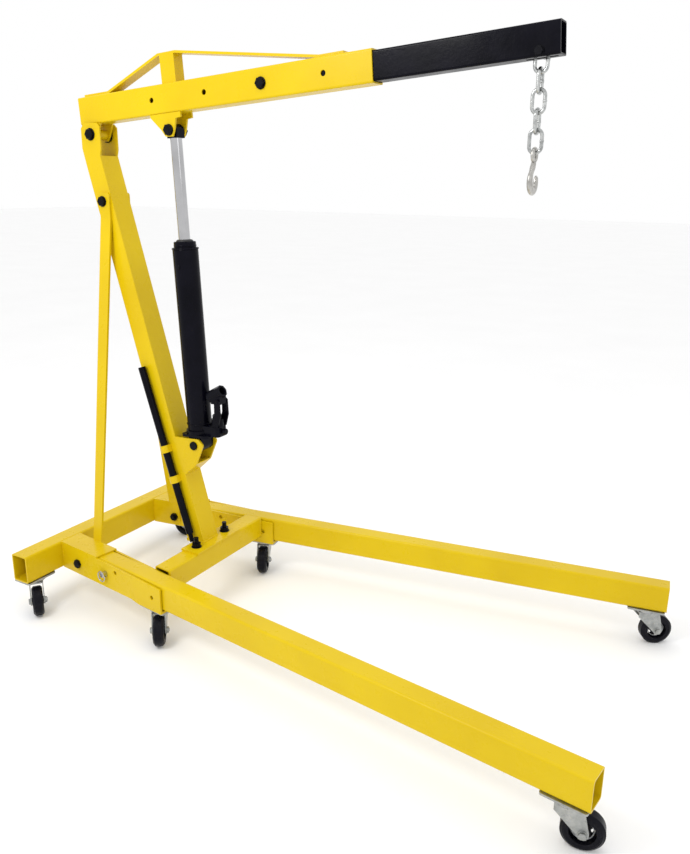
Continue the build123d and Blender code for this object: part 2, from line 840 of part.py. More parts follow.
def caster_wheel(name):
    """Solid tyre on a spoked hub."""
    plane = trail_plane(name)
    half = wheel_width / 2
    hub_half = half + fork_play - seat_gap
    profile_plane = Plane(origin=plane.origin, x_dir=plane.y_dir, z_dir=-plane.x_dir)
    across_axis = Axis(plane.origin, plane.y_dir)
    with BuildPart() as tyre:
        with BuildSketch(profile_plane):
            with BuildLine():
                Polyline(
                    (-half, tyre_inner_r),
                    (-half, wheel_r - 6),
                    (-half + 5, wheel_r),
                    (half - 5, wheel_r),
                    (half, wheel_r - 6),
                    (half, tyre_inner_r),
                    close=True,
                )
            make_face()
        revolve(axis=across_axis)
    hub_plane = Plane(origin=plane.origin, x_dir=plane.x_dir, z_dir=plane.y_dir)
    with BuildPart() as hub:
        with BuildSketch(hub_plane.offset(-half)):
            Circle(tyre_inner_r)
            Circle(tyre_inner_r - 4, mode=Mode.SUBTRACT)
        extrude(amount=2 * half)
        with BuildSketch(hub_plane.offset(-4)):
            Circle(tyre_inner_r - 2)
            with PolarLocations(20, 5):
                SlotCenterToCenter(7, 9, rotation=90, mode=Mode.SUBTRACT)
        extrude(amount=8)
        with BuildSketch(hub_plane.offset(-hub_half)):
            Circle(11)
        extrude(amount=2 * hub_half)
        with BuildSketch(hub_plane.offset(-hub_half)):
            Circle(axle_r + 2 * pin_play)
        extrude(amount=2 * hub_half, mode=Mode.SUBTRACT)
    with BuildPart() as wheel:
        add(tyre.part)
        add(hub.part)
    return wheel


save(caster_plates(), "caster_plates")
for name in caster_places():
    save(caster_fork(name), f"caster_fork_{name}")
    save(caster_wheel(name), f"caster_wheel_{name}")


# ---------------------------------------------------------------- boom
def boom_section(width, height, wall, start, end, lift):
    """Tube along the boom, its underside lifted off the boom's underside."""
    plane = Plane(
        origin=boom_plane.from_local_coords((start, 0, lift + height / 2)),
        x_dir=(0, 1, 0),
        z_dir=boom_plane.x_dir,
    )
    return box_tube(plane, end - start, width, height, wall, 5.0)


boom_side = Plane(origin=boom_plane.origin, x_dir=boom_plane.x_dir, z_dir=(0, -1, 0))
hole_places = [hole_first + k * hole_pitch for k in range(hole_count)]


def boom_tube():
    with BuildPart() as part:
        add(boom_section(boom_width, boom_height, boom_wall, 0, boom_length, 0).part)
        with BuildSketch(boom_side.offset(-boom_width)):
            with Locations(*[(x, boom_height / 2) for x in hole_places]):
                Circle(lock_r)
        extrude(amount=2 * boom_width, mode=Mode.SUBTRACT)
    return part


def boom_lug():
    """Two cheeks under the boom's tail with the pivot bush across them."""
    cheek = 6.0
    half = boom_width / 2
    bush_r = 14.0
    bush_half = boom_width / 2
    with BuildPart() as part:
        for y in (half, -half + cheek):
            with BuildSketch(Plane(origin=(0, y, 0), x_dir=(1, 0, 0), z_dir=(0, -1, 0))):
                with BuildLine():
                    left = boom_side.from_local_coords((boom_tail - 34, 0))
                    right = boom_side.from_local_coords((boom_tail + 34, 0))
                    Polyline(
                        (left.X, left.Z),
                        (pivot.X - 17, pivot.Z - 6),
                        (pivot.X - 8, pivot.Z - 17),
                        (pivot.X + 8, pivot.Z - 17),
                        (pivot.X + 17, pivot.Z - 6),
                        (right.X, right.Z),
                        close=True,
                    )
                make_face()
            extrude(amount=cheek)
        barrel = Plane(origin=(pivot.X, -bush_half, pivot.Z), x_dir=(1, 0, 0), z_dir=(0, 1, 0))
        with BuildSketch(barrel):
            Circle(bush_r)
        extrude(amount=2 * bush_half)
        with BuildSketch(barrel):
            Circle(pivot_r + pin_play)
        extrude(amount=2 * bush_half, mode=Mode.SUBTRACT)
    return part


brace_rear = 20.0
brace_bend = 112.0
brace_post = 308.0
brace_post_long = 48.0
brace_post_high = 70.0
brace_front_bend = 790.0
brace_front = 862.0


def boom_brace():
    """Strap over a post on the boom's top: a shallow truss that stiffens the boom."""
    top = boom_height
    high = top + brace_post_high
    post_end = brace_post + brace_post_long
    strap = (
        (brace_rear, top),
        (brace_bend, top),
        (brace_post - 4, high),
        (post_end + 4, high),
        (brace_front_bend, top),
        (brace_front, top),
        (brace_front, top + brace_thick),
        (brace_front_bend + 6, top + brace_thick),
        (post_end + 6, high + brace_thick),
        (brace_post - 6, high + brace_thick),
        (brace_bend - 3, top + brace_thick),
        (brace_rear, top + brace_thick),
    )
    with BuildPart() as part:
        with BuildSketch(boom_side.offset(-brace_width / 2)):
            Polygon(*strap, align=None)
        extrude(amount=brace_width)
        with BuildSketch(boom_side.offset(-brace_width / 2)):
            with Locations((brace_post + brace_post_long / 2, (top + high) / 2)):
                Rectangle(brace_post_long, brace_post_high)
        extrude(amount=brace_width)
    return part


upper_inner = boom_width / 2 - bracket_plate


def ram_upper_bracket():
    """Two plates under the boom that hold the top of the rod between them."""
    pin = boom_side.to_local_coords(ram_top)
    outline = (
        (pin.X - 62, 0),
        (pin.X - 58, pin.Y + 33),
        (pin.X - 27, pin.Y + 2),
        (pin.X - 14, pin.Y - 16),
        (pin.X + 10, pin.Y - 18),
        (pin.X + 20, pin.Y + 4),
        (pin.X + 26, pin.Y + 27),
        (pin.X + 44, pin.Y + 29),
        (pin.X + 44, 0),
    )
    with BuildPart() as part:
        for y in (boom_width / 2, -boom_width / 2 + bracket_plate):
            with BuildSketch(boom_side.offset(-y)):
                Polygon(*outline, align=None)
                with Locations((pin.X, pin.Y)):
                    Circle(ram_top_pin_r + pin_play, mode=Mode.SUBTRACT)
            extrude(amount=bracket_plate)
        fillet(part.edges().filter_by(Axis.Y).group_by(Axis.Z)[0], 5.0)
    return part


def ram_upper_bolt():
    """Head and nut ends of the bolt that stand in the bracket's two plates."""
    with BuildPart() as part:
        for facing in (-1, 1):
            outer = facing * boom_width / 2
            plane = Plane(origin=(ram_top.X, outer, ram_top.Z), x_dir=(1, 0, 0), z_dir=(0, -facing, 0))
            add(hex_bolt(plane, ram_top_pin_r, bracket_plate, 26.0, 9.0, nut=False).part)
    return part


def lock_bolt():
    """Head and nut ends of the lock bolt in the boom's two walls."""
    at = boom_side.from_local_coords((hole_places[lock_hole], boom_height / 2))
    with BuildPart() as part:
        for facing in (-1, 1):
            plane = Plane(
                origin=(at.X, facing * boom_width / 2, at.Z),
                x_dir=boom_plane.x_dir,
                z_dir=(0, -facing, 0),
            )
            add(hex_bolt(plane, lock_r - pin_play, boom_wall, 24.0, 9.0, nut=False).part)
    return part


save(boom_tube(), "boom_tube")
save(boom_lug(), "boom_lug")
save(boom_brace(), "boom_brace")
save(ram_upper_bracket(), "ram_upper_bracket")
save(ram_upper_bolt(), "ram_upper_bolt")
save(lock_bolt(), "lock_bolt")


# ---------------------------------------------------------------- extension
extension_start = boom_length - extension_inside
extension_end = extension_start + extension_length
extension_width = boom_width - 2 * boom_wall - 2 * extension_play
extension_lift = boom_wall + seat_gap
chain_at = extension_end - chain_bolt_from_front
chain_up = extension_lift + chain_bolt_up
chain_bolt_at = boom_side.from_local_coords((chain_at, chain_up))
slot_half = 34.0


def extension():
    """Inner boom: a tube with one lock hole, and a slot in its underside for the chain."""
    with BuildPart() as part:
        add(boom_section(
            extension_width, extension_height, extension_wall,
            extension_start, extension_end, extension_lift,
        ).part)
        with BuildSketch(boom_side.offset(-boom_width)):
            with Locations((hole_places[lock_hole], boom_height / 2)):
                Circle(lock_r)
            with Locations((chain_at, chain_up)):
                Circle(chain_bolt_r + pin_play)
        extrude(amount=2 * boom_width, mode=Mode.SUBTRACT)
        with BuildSketch(moved(boom_plane, chain_at, 0, extension_lift - 2)):
            Rectangle(2 * slot_half, 2 * link_wire_r + 4)
        extrude(amount=extension_wall + 3, mode=Mode.SUBTRACT)
    return part


def chain_bolt():
    half = extension_width / 2
    plane = Plane(
        origin=(chain_bolt_at.X, -half, chain_bolt_at.Z),
        x_dir=boom_plane.x_dir,
        z_dir=(0, 1, 0),
    )
    return hex_bolt(plane, chain_bolt_r, 2 * half, 17.0, 7.0, tail=3.0)


save(extension(), "extension")
save(chain_bolt(), "chain_bolt")


# ---------------------------------------------------------------- chain and hook
link_inner_length = link_pitch
link_drop = link_inner_length - chain_play      # from one link's middle to the next


def link(k):
    """Stadium-shaped round-wire link; even links lie along X, odd links along Y."""
    inner_half = link_inner_length / 2
    bend_r = link_inner_width / 2 + link_wire_r
    straight = inner_half + link_wire_r - bend_r
    top = chain_bolt_at.Z + chain_bolt_r + chain_play + link_wire_r
    centre = Vector(chain_bolt_at.X, 0, top - straight - bend_r - k * link_drop)
    wide = Vector(1, 0, 0) if k % 2 == 0 else Vector(0, 1, 0)
    plane = Plane(origin=centre, x_dir=wide, z_dir=wide.cross(Vector(0, 0, 1)))
    with BuildPart() as part:
        with BuildLine(plane):
            Polyline((-bend_r, 0), (-bend_r, straight))
            ThreePointArc((-bend_r, straight), (0, straight + bend_r), (bend_r, straight))
            Polyline((bend_r, straight), (bend_r, -straight))
            ThreePointArc((bend_r, -straight), (0, -straight - bend_r), (-bend_r, -straight))
            Polyline((-bend_r, -straight), (-bend_r, 0))
        with BuildSketch(Plane(origin=plane.from_local_coords((-bend_r, 0)), z_dir=plane.y_dir)):
            Circle(link_wire_r)
        sweep()
    return part


def link_bottom_wire_z(k):
    """Height of the wire's centre at the bottom of link k."""
    top = chain_bolt_at.Z + chain_bolt_r + chain_play + link_wire_r
    return top - (link_inner_length + 2 * link_wire_r) - k * link_drop


hook_join = 135.0           # where the shank runs into the bowl, degrees round the bowl
hook_tip = 380.0            # where the bowl ends at the tip


def bowl_point(angle):
    """A point on the bowl's centre line, y to the left and z up from the eye's middle."""
    turn = radians(angle)
    return (2.0 + hook_bowl_r * cos(turn), hook_bowl_r * sin(turn) - hook_drop)


def hook():
    """Eye hook hanging edge-on from the last link, its tip to the hoist's left."""
    last = link_bottom_wire_z(link_count - 1)
    eye_z = last + link_wire_r + chain_play - (hook_eye_r - hook_eye_wire)
    view = Plane(origin=(chain_bolt_at.X, 0, eye_z), x_dir=(0, 1, 0), z_dir=(1, 0, 0))
    join = view.from_local_coords(bowl_point(hook_join))
    bowl_axis = Axis(view.from_local_coords((2.0, -hook_drop)), view.z_dir)
    neck = view.from_local_coords((0, -hook_eye_r))
    with BuildPart() as part:
        with Locations(view):
            Torus(hook_eye_r, hook_eye_wire)
        with BuildSketch(Plane(origin=join, x_dir=(1, 0, 0), z_dir=(0, -1, -1))):
            Circle(hook_r)
        revolve(axis=bowl_axis, revolution_arc=hook_tip - hook_join)
        with BuildSketch(Plane(origin=neck, z_dir=join - neck)):
            Circle(hook_r)
        extrude(amount=(join - neck).length)
        with Locations(join):
            Sphere(hook_r * 1.06)
    return part


for k in range(link_count):
    save(link(k), f"chain_link_{k + 1}")
save(hook(), "hook")


# ---------------------------------------------------------------- ram cylinder, rod and pump
ram_end = ram_length
collar_top = cylinder_end + collar_length


def along_ram(x, y, s):
    return moved(ram_plane, x, y, s)


def cylinder():
    """Black cylinder with a narrower collar at its mouth, bored for the rod."""
    with BuildPart() as part:
        with BuildSketch(along_ram(0, 0, cylinder_start)):
            Circle(cylinder_r)
        extrude(amount=cylinder_end - cylinder_start)
        fillet(part.edges().filter_by(GeomType.CIRCLE).sort_by(Axis.Z)[-1], 3.0)
        with BuildSketch(along_ram(0, 0, cylinder_end)):
            Circle(collar_r)
        extrude(amount=collar_length)
        chamfer(part.edges().filter_by(GeomType.CIRCLE).sort_by(Axis.Z)[-1], 2.0)
        with BuildSketch(along_ram(0, 0, cylinder_start + 12)):
            Circle(rod_r + pin_play)
        extrude(amount=collar_top, mode=Mode.SUBTRACT)
    return part


tongue_low_half = mast_width / 2 - bracket_plate - 2.0
base_top = 60.0             # top of the pump block, along the ram
base_front = 84.0
pump_x = 68.0
pump_top = 94.0
piston_r = 7.0
lever_x = 86.0              # lever's cross pin, ahead of the ram's axis and up along it
lever_s = 134.0
lever_pin_r = 5.0
lever_tilt = 26.5


def ram_base():
    """Casting under the cylinder: flange, pump block, lever post and the tongue on the lower pin."""
    with BuildPart() as part:
        with BuildSketch(along_ram(4, 0, 26)):
            RectangleRounded(96, 78, 14)
        extrude(amount=8)
        with BuildSketch(along_ram(0, 0, 34)):
            Circle(cylinder_r + 5)
        extrude(amount=cylinder_start - 34)
        with BuildSketch(along_ram(base_front - 46, 0, 30)):
            RectangleRounded(92, 46, 10)
        extrude(amount=base_top - 30)
        with BuildSketch(along_ram(0, 0, 0)):
            Rectangle(46, 2 * tongue_low_half)
        extrude(amount=30)
        with BuildSketch(Plane(origin=ram_low + Vector(0, tongue_low_half, 0), x_dir=(1, 0, 0), z_dir=(0, -1, 0))):
            Circle(23)
        extrude(amount=2 * tongue_low_half)
        with BuildSketch(Plane(origin=ram_low + Vector(0, mast_width, 0), x_dir=(1, 0, 0), z_dir=(0, -1, 0))):
            Circle(ram_pin_r + pin_play)
        extrude(amount=2 * mast_width, mode=Mode.SUBTRACT)
        with BuildSketch(along_ram(0, 0, cylinder_start)):
            Circle(cylinder_r + seat_gap)
        extrude(amount=40, mode=Mode.SUBTRACT)
    return part


def pump_side(y):
    """Side view of the ram: x forward, y up along it, facing the hoist's right."""
    return Plane(origin=ram_plane.from_local_coords((0, y, 0)), x_dir=ram_plane.x_dir, z_dir=(0, -1, 0))


def pump_body():
    """Upright pump barrel in front of the cylinder, with two ears for the lever's pin."""
    ear = 5.0
    inner = 16.0
    with BuildPart() as part:
        with BuildSketch(along_ram(pump_x, 0, base_top)):
            Circle(18)
        extrude(amount=pump_top - 12 - base_top)
        with BuildSketch(along_ram(pump_x, 0, pump_top - 13)):
            RegularPolygon(13, 6, major_radius=False)
        extrude(amount=13)
        for y in (inner + ear, -inner):
            with BuildSketch(pump_side(y)):
                Polygon(
                    (pump_x - 6, base_top),
                    (pump_x + 16, base_top),
                    (lever_x + 9, base_top + 34),
                    (lever_x + 9, lever_s + 4),
                    (lever_x + 4, lever_s + 9),
                    (lever_x - 5, lever_s + 9),
                    (lever_x - 10, lever_s),
                    (lever_x - 12, base_top + 40),
                    align=None,
                )
                with Locations((lever_x, lever_s)):
                    Circle(lever_pin_r + pin_play, mode=Mode.SUBTRACT)
            extrude(amount=ear)
        with BuildSketch(along_ram(pump_x, 0, base_top + 10)):
            Circle(piston_r + pin_play)
        extrude(amount=80, mode=Mode.SUBTRACT)
    return part


def pump_piston():
    with BuildPart() as part:
        with BuildSketch(along_ram(pump_x, 0, base_top + 22)):
            Circle(piston_r)
        extrude(amount=lever_s - 12 - base_top - 22)
        fillet(part.edges().filter_by(GeomType.CIRCLE).sort_by(Axis.Z)[-1], 2.5)
    return part


def pump_lever():
    """Handle socket: a short tilted tube over a block, turning on a cross pin in the pump's ears."""
    tilt = radians(lever_tilt)
    half = 15.0
    way = (ram_plane.x_dir * cos(tilt) + ram_plane.z_dir * sin(tilt)).normalized()
    middle = ram_plane.from_local_coords((lever_x - 20, 0, lever_s + 19))
    with BuildPart() as part:
        with BuildSketch(Plane(origin=middle - way * 21, x_dir=(0, 1, 0), z_dir=way)):
            RegularPolygon(17, 8, major_radius=False)
        extrude(amount=52)
        with BuildSketch(pump_side(half)):
            Polygon(
                (lever_x - 28, lever_s + 12),
                (lever_x - 26, lever_s - 6),
                (lever_x + 7, lever_s - 6),
                (lever_x + 8, lever_s + 18),
                align=None,
            )
        extrude(amount=2 * half)
        with BuildSketch(pump_side(22)):
            with Locations((lever_x, lever_s)):
                Circle(lever_pin_r)
        extrude(amount=44)
        with BuildSketch(Plane(origin=middle - way * 8, x_dir=(0, 1, 0), z_dir=way)):
            Circle(handle_r + 0.8)
        extrude(amount=60, mode=Mode.SUBTRACT)
    return part


def release_valve():
    """Round knob at the base's front."""
    plane = Plane(
        origin=ram_plane.from_local_coords((base_front + seat_gap, 0, 45)),
        x_dir=(0, 1, 0),
        z_dir=ram_plane.x_dir,
    )
    with BuildPart() as part:
        with BuildSketch(plane):
            Circle(6)
        extrude(amount=6)
        with BuildSketch(plane.offset(6)):
            Circle(9)
        extrude(amount=8)
        chamfer(part.edges().filter_by(GeomType.CIRCLE).sort_by(Axis(plane.origin, plane.z_dir))[-1], 1.5)
    return part


tongue_half = upper_inner - tongue_play


def rod():
    rod_start = collar_top - rod_below
    with BuildPart() as part:
        with BuildSketch(along_ram(0, 0, rod_start)):
            Circle(rod_r)
        extrude(amount=ram_end - 20 - rod_start)
    return part


def rod_tongue():
    """Flat eye on top of the rod, with the middle of the top bolt in it."""
    with BuildPart() as part:
        with BuildSketch(along_ram(0, 0, ram_end - 20)):
            Rectangle(34, 2 * tongue_half)
        extrude(amount=20)
        with BuildSketch(Plane(origin=ram_top + Vector(0, tongue_half, 0), x_dir=(1, 0, 0), z_dir=(0, -1, 0))):
            Circle(17)
        extrude(amount=2 * tongue_half)
    return part


save(cylinder(), "ram_cylinder")
save(ram_base(), "ram_base")
save(pump_body(), "pump_body")
save(pump_piston(), "pump_piston")
save(pump_lever(), "pump_lever")
save(release_valve(), "release_valve")
save(rod(), "ram_rod")
save(rod_tongue(), "rod_tongue")
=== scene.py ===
"""Folding engine hoist: finishes, hardware, floor, lights and camera, around the CAD frame."""

import json
import random
from math import cos, pi, radians, sin

import bmesh
import bpy
from mathutils import Matrix, Vector


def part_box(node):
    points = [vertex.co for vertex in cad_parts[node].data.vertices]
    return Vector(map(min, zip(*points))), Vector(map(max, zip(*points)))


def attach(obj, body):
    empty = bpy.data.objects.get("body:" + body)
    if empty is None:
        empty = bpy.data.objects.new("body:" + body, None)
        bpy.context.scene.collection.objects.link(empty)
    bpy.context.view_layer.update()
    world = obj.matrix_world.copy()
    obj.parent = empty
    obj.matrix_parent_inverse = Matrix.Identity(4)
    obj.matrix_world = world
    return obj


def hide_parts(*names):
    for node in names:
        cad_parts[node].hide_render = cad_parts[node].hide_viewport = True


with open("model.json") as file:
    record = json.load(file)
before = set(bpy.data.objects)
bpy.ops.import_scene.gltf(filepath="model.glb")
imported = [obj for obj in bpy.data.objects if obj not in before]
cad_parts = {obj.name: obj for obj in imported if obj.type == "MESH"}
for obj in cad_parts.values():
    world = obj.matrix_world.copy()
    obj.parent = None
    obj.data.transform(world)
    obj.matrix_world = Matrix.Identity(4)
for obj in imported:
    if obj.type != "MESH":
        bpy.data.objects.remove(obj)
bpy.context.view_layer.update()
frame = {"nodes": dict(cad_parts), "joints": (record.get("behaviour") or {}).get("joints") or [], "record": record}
nodes = frame["nodes"]
random.seed(31)


# ---------------------------------------------------------------- finishes


class Recipe:
    """Small helper for wiring a material's nodes."""

    def __init__(self, name):
        self.material = bpy.data.materials.new(name)
        self.material.use_nodes = True
        self.tree = self.material.node_tree
        self.shader = self.tree.nodes["Principled BSDF"]
        self.place = self.tree.nodes.new("ShaderNodeTexCoord").outputs["Object"]

    def join(self, source, socket):
        self.tree.links.new(source, socket)

    def noise(self, scale, detail=4.0, roughness=0.55, stretch=None):
        node = self.tree.nodes.new("ShaderNodeTexNoise")
        node.inputs["Scale"].default_value = scale
        node.inputs["Detail"].default_value = detail
        node.inputs["Roughness"].default_value = roughness
        source = self.place
        if stretch:
            mapping = self.tree.nodes.new("ShaderNodeMapping")
            mapping.inputs["Scale"].default_value = stretch
            self.join(source, mapping.inputs["Vector"])
            source = mapping.outputs["Vector"]
        self.join(source, node.inputs["Vector"])
        return node.outputs["Fac"]

    def cells(self, scale):
        node = self.tree.nodes.new("ShaderNodeTexVoronoi")
        node.inputs["Scale"].default_value = scale
        self.join(self.place, node.inputs["Vector"])
        return node.outputs["Distance"]

    def ramp(self, source, *stops):
        node = self.tree.nodes.new("ShaderNodeValToRGB")
        while len(node.color_ramp.elements) < len(stops):
            node.color_ramp.elements.new(0.5)
        for element, (position, colour) in zip(node.color_ramp.elements, stops):
            element.position = position
            if not isinstance(colour, tuple):
                colour = (colour, colour, colour)
            element.color = (*colour, 1.0)
        self.join(source, node.inputs["Fac"])
        return node.outputs["Color"]

    def mix(self, share, first, second):
        node = self.tree.nodes.new("ShaderNodeMix")
        node.data_type = "RGBA"
        if isinstance(share, float):
            node.inputs["Factor"].default_value = share
        else:
            self.join(share, node.inputs["Factor"])
        for value, socket in ((first, node.inputs["A"]), (second, node.inputs["B"])):
            if isinstance(value, tuple):
                socket.default_value = (*value, 1.0)
            else:
                self.join(value, socket)
        return node.outputs["Result"]

    def bump(self, height, strength, distance, under=None):
        node = self.tree.nodes.new("ShaderNodeBump")
        node.inputs["Strength"].default_value = strength
        node.inputs["Distance"].default_value = distance
        self.join(height, node.inputs["Height"])
        if under is not None:
            self.join(under, node.inputs["Normal"])
        return node.outputs["Normal"]

    def finish(self, colour=None, rough=None, normal=None, **fixed):
        if colour is not None:
            self.join(colour, self.shader.inputs["Base Color"])
        if rough is not None:
            self.join(rough, self.shader.inputs["Roughness"])
        if normal is not None:
            self.join(normal, self.shader.inputs["Normal"])
        for name, value in fixed.items():
            self.shader.inputs[name.replace("_", " ")].default_value = value
        return self.material


def yellow_enamel():
    r = Recipe("yellow_enamel")
    drift = r.ramp(
        r.noise(3.5, 3.0),
        (0.3, (0.62, 0.425, 0.002)),
        (0.7, (0.70, 0.500, 0.003)),
    )
    dust = r.ramp(r.noise(38.0, 6.0, 0.7), (0.52, 0.0), (0.86, 0.22))
    colour = r.mix(dust, drift, (0.66, 0.47, 0.03))
    chips = r.ramp(r.noise(230.0, 5.0, 0.75), (0.66, 0.0), (0.73, 0.5))
    colour = r.mix(chips, colour, (0.58, 0.37, 0.01))
    rough = r.ramp(r.noise(21.0, 5.0, 0.6), (0.3, 0.24), (0.75, 0.36))
    peel = r.bump(r.noise(170.0, 2.0, 0.4), 0.10, 0.0006)
    waves = r.bump(r.noise(9.0, 2.0, 0.4), 0.10, 0.004, peel)
    return r.finish(
        colour,
        rough,
        waves,
        Specular_IOR_Level=0.16,
        Coat_Weight=0.06,
        Coat_Roughness=0.10,
    )


def black_enamel():
    r = Recipe("black_enamel")
    colour = r.ramp(
        r.noise(14.0, 5.0, 0.6),
        (0.3, (0.0012, 0.0012, 0.0030)),
        (0.75, (0.0040, 0.0038, 0.0085)),
    )
    # painted highlights: pale specks mixed into the black base colour stand in for small glints of light on the
    # gloss
    painted_glint_specks = r.ramp(r.noise(420.0, 3.0, 0.7), (0.68, 0.0), (0.76, 0.35))
    colour = r.mix(painted_glint_specks, colour, (0.055, 0.052, 0.05))
    rough = r.ramp(r.noise(26.0, 5.0, 0.6), (0.3, 0.17), (0.75, 0.32))
    peel = r.bump(r.noise(120.0, 2.5, 0.5), 0.22, 0.0008)
    return r.finish(
        colour,
        rough,
        peel,
        Specular_IOR_Level=0.05,
        Coat_Weight=0.07,
        Coat_Roughness=0.08,
    )


def black_oxide():
    r = Recipe("black_oxide")
    colour = r.ramp(
        r.noise(90.0, 5.0, 0.65),
        (0.3, (0.0015, 0.0016, 0.0030)),
        (0.75, (0.0080, 0.0080, 0.0110)),
    )
    rough = r.ramp(r.noise(160.0, 4.0, 0.6), (0.3, 0.26), (0.75, 0.46))
    grain = r.bump(r.noise(600.0, 3.0, 0.6), 0.25, 0.0003)
    return r.finish(colour, rough, grain, Metallic=0.25, Specular_IOR_Level=0.10)


def chrome():
    r = Recipe("chrome")
    colour = r.ramp(
        r.noise(7.0, 4.0), (0.3, (0.40, 0.40, 0.41)), (0.7, (0.58, 0.58, 0.59))
    )
    rough = r.ramp(
        r.noise(60.0, 4.0, 0.6, stretch=(1.0, 1.0, 0.08)), (0.3, 0.07), (0.75, 0.20)
    )
    rings = r.bump(r.noise(900.0, 2.0, 0.5, stretch=(1.0, 1.0, 0.3)), 0.08, 0.0002)
    return r.finish(colour, rough, rings, Metallic=1.0)


def bright_zinc():
    r = Recipe("bright_zinc")
    colour = r.ramp(
        r.noise(75.0, 5.0, 0.6),
        (0.3, (0.30, 0.31, 0.31)),
        (0.7, (0.62, 0.63, 0.62)),
    )
    rough = r.ramp(r.noise(140.0, 5.0, 0.6), (0.3, 0.16), (0.75, 0.36))
    hammered = r.bump(r.noise(130.0, 3.0, 0.5), 0.30, 0.0010)
    return r.finish(colour, rough, hammered, Metallic=1.0)


def warm_nickel():
    r = Recipe("warm_nickel")
    colour = r.ramp(
        r.noise(60.0, 5.0, 0.6),
        (0.3, (0.36, 0.35, 0.33)),
        (0.7, (0.58, 0.57, 0.54)),
    )
    rough = r.ramp(r.noise(110.0, 5.0, 0.6), (0.3, 0.26), (0.75, 0.42))
    forged = r.bump(r.noise(160.0, 4.0, 0.6), 0.30, 0.0008)
    return r.finish(colour, rough, forged, Metallic=1.0)


def dull_zinc():
    r = Recipe("dull_zinc")
    colour = r.ramp(
        r.noise(55.0, 6.0, 0.7),
        (0.25, (0.20, 0.21, 0.21)),
        (0.5, (0.36, 0.37, 0.36)),
        (0.8, (0.52, 0.52, 0.50)),
    )
    rough = r.ramp(r.noise(95.0, 5.0, 0.6), (0.3, 0.24), (0.75, 0.50))
    spangle = r.bump(r.cells(260.0), 0.12, 0.0004)
    return r.finish(colour, rough, spangle, Metallic=0.95)


def grey_moulding():
    r = Recipe("grey_moulding")
    colour = r.ramp(
        r.noise(30.0, 5.0, 0.6),
        (0.3, (0.46, 0.46, 0.44)),
        (0.75, (0.60, 0.60, 0.57)),
    )
    rough = r.ramp(r.noise(70.0, 4.0), (0.3, 0.42), (0.75, 0.60))
    pores = r.bump(r.noise(500.0, 3.0, 0.6), 0.2, 0.0003)
    return r.finish(colour, rough, pores)


def hard_tyre():
    r = Recipe("hard_tyre")
    colour = r.ramp(
        r.noise(42.0, 6.0, 0.65),
        (0.3, (0.0022, 0.0022, 0.0042)),
        (0.72, (0.0075, 0.0073, 0.0120)),
    )
    dust = r.ramp(r.noise(160.0, 5.0, 0.7), (0.60, 0.0), (0.82, 0.30))
    colour = r.mix(dust, colour, (0.09, 0.085, 0.08))
    rough = r.ramp(r.noise(55.0, 5.0, 0.6), (0.3, 0.22), (0.75, 0.44))
    scuffs = r.bump(r.noise(260.0, 4.0, 0.6), 0.22, 0.0004)
    return r.finish(
        colour,
        rough,
        scuffs,
        Specular_IOR_Level=0.08,
        Coat_Weight=0.05,
        Coat_Roughness=0.12,
    )


def pale_hub():
    r = Recipe("pale_hub")
    colour = r.ramp(
        r.noise(60.0, 5.0, 0.6),
        (0.3, (0.36, 0.37, 0.38)),
        (0.72, (0.56, 0.57, 0.57)),
    )
    rough = r.ramp(r.noise(90.0, 4.0), (0.3, 0.34), (0.75, 0.52))
    pores = r.bump(r.noise(420.0, 3.0, 0.6), 0.2, 0.0003)
    return r.finish(colour, rough, pores)


def rubber_grip():
    r = Recipe("rubber_grip")
    colour = r.ramp(
        r.noise(80.0, 5.0, 0.6),
        (0.3, (0.006, 0.006, 0.007)),
        (0.72, (0.018, 0.018, 0.019)),
    )
    rough = r.ramp(r.noise(120.0, 4.0), (0.3, 0.45), (0.75, 0.62))
    pores = r.bump(r.noise(700.0, 3.0, 0.6), 0.3, 0.0003)
    return r.finish(colour, rough, pores)


def pale_floor():
    r = Recipe("pale_floor")
    colour = r.ramp(
        r.noise(1.6, 4.0), (0.3, (0.95, 0.95, 0.95)), (0.7, (0.97, 0.97, 0.97))
    )
    rough = r.ramp(r.noise(7.0, 4.0), (0.3, 0.75), (0.75, 0.9))
    return r.finish(colour, rough)


YELLOW = yellow_enamel()
BLACK = black_enamel()
OXIDE = black_oxide()
CHROME = chrome()
CHAIN = bright_zinc()
NICKEL = warm_nickel()
ZINC = dull_zinc()
ROLLER = grey_moulding()
TYRE = hard_tyre()
HUB = pale_hub()
GRIP = rubber_grip()

SLOT_FINISH = {
    "yellow_paint": YELLOW,
    "black_bolts": OXIDE,
    "black_enamel": BLACK,
    "chrome": CHROME,
    "zinc_chain": CHAIN,
    "grey_roller": ROLLER,
    "zinc_caster": ZINC,
    "wheel_black": TYRE,
}


def finish_cad_nodes():
    for name, node in nodes.items():
        for place in node.material_slots:
            key = place.material.name.split(".")[0] if place.material else ""
            place.material = SLOT_FINISH.get(key, YELLOW)
        if name == "hook":
            node.material_slots[0].material = NICKEL
        if name == "rod_tongue":
            node.material_slots[0].material = BLACK


finish_cad_nodes()

# ---------------------------------------------------------------- added hardware

MM = 0.001


def place_piece(bm, name, body, finish, turn=None, at=(0, 0, 0), smooth=True):
    """Puts a finished bmesh where it belongs and hands it to its body."""
    if turn is not None:
        bmesh.ops.transform(bm, matrix=turn, verts=bm.verts)
    bmesh.ops.translate(bm, verts=bm.verts, vec=Vector(at))
    bmesh.ops.remove_doubles(bm, verts=bm.verts, dist=1e-6)
    bmesh.ops.recalc_face_normals(bm, faces=bm.faces)
    for face in bm.faces:
        face.smooth = smooth
    mesh = bpy.data.meshes.new(name)
    bm.to_mesh(mesh)
    bm.free()
    mesh.materials.append(finish)
    piece = bpy.data.objects.new(name, mesh)
    bpy.context.scene.collection.objects.link(piece)
    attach(piece, body)
    return piece


def in_mm(*points):
    return [(r * MM, z * MM) for r, z in points]


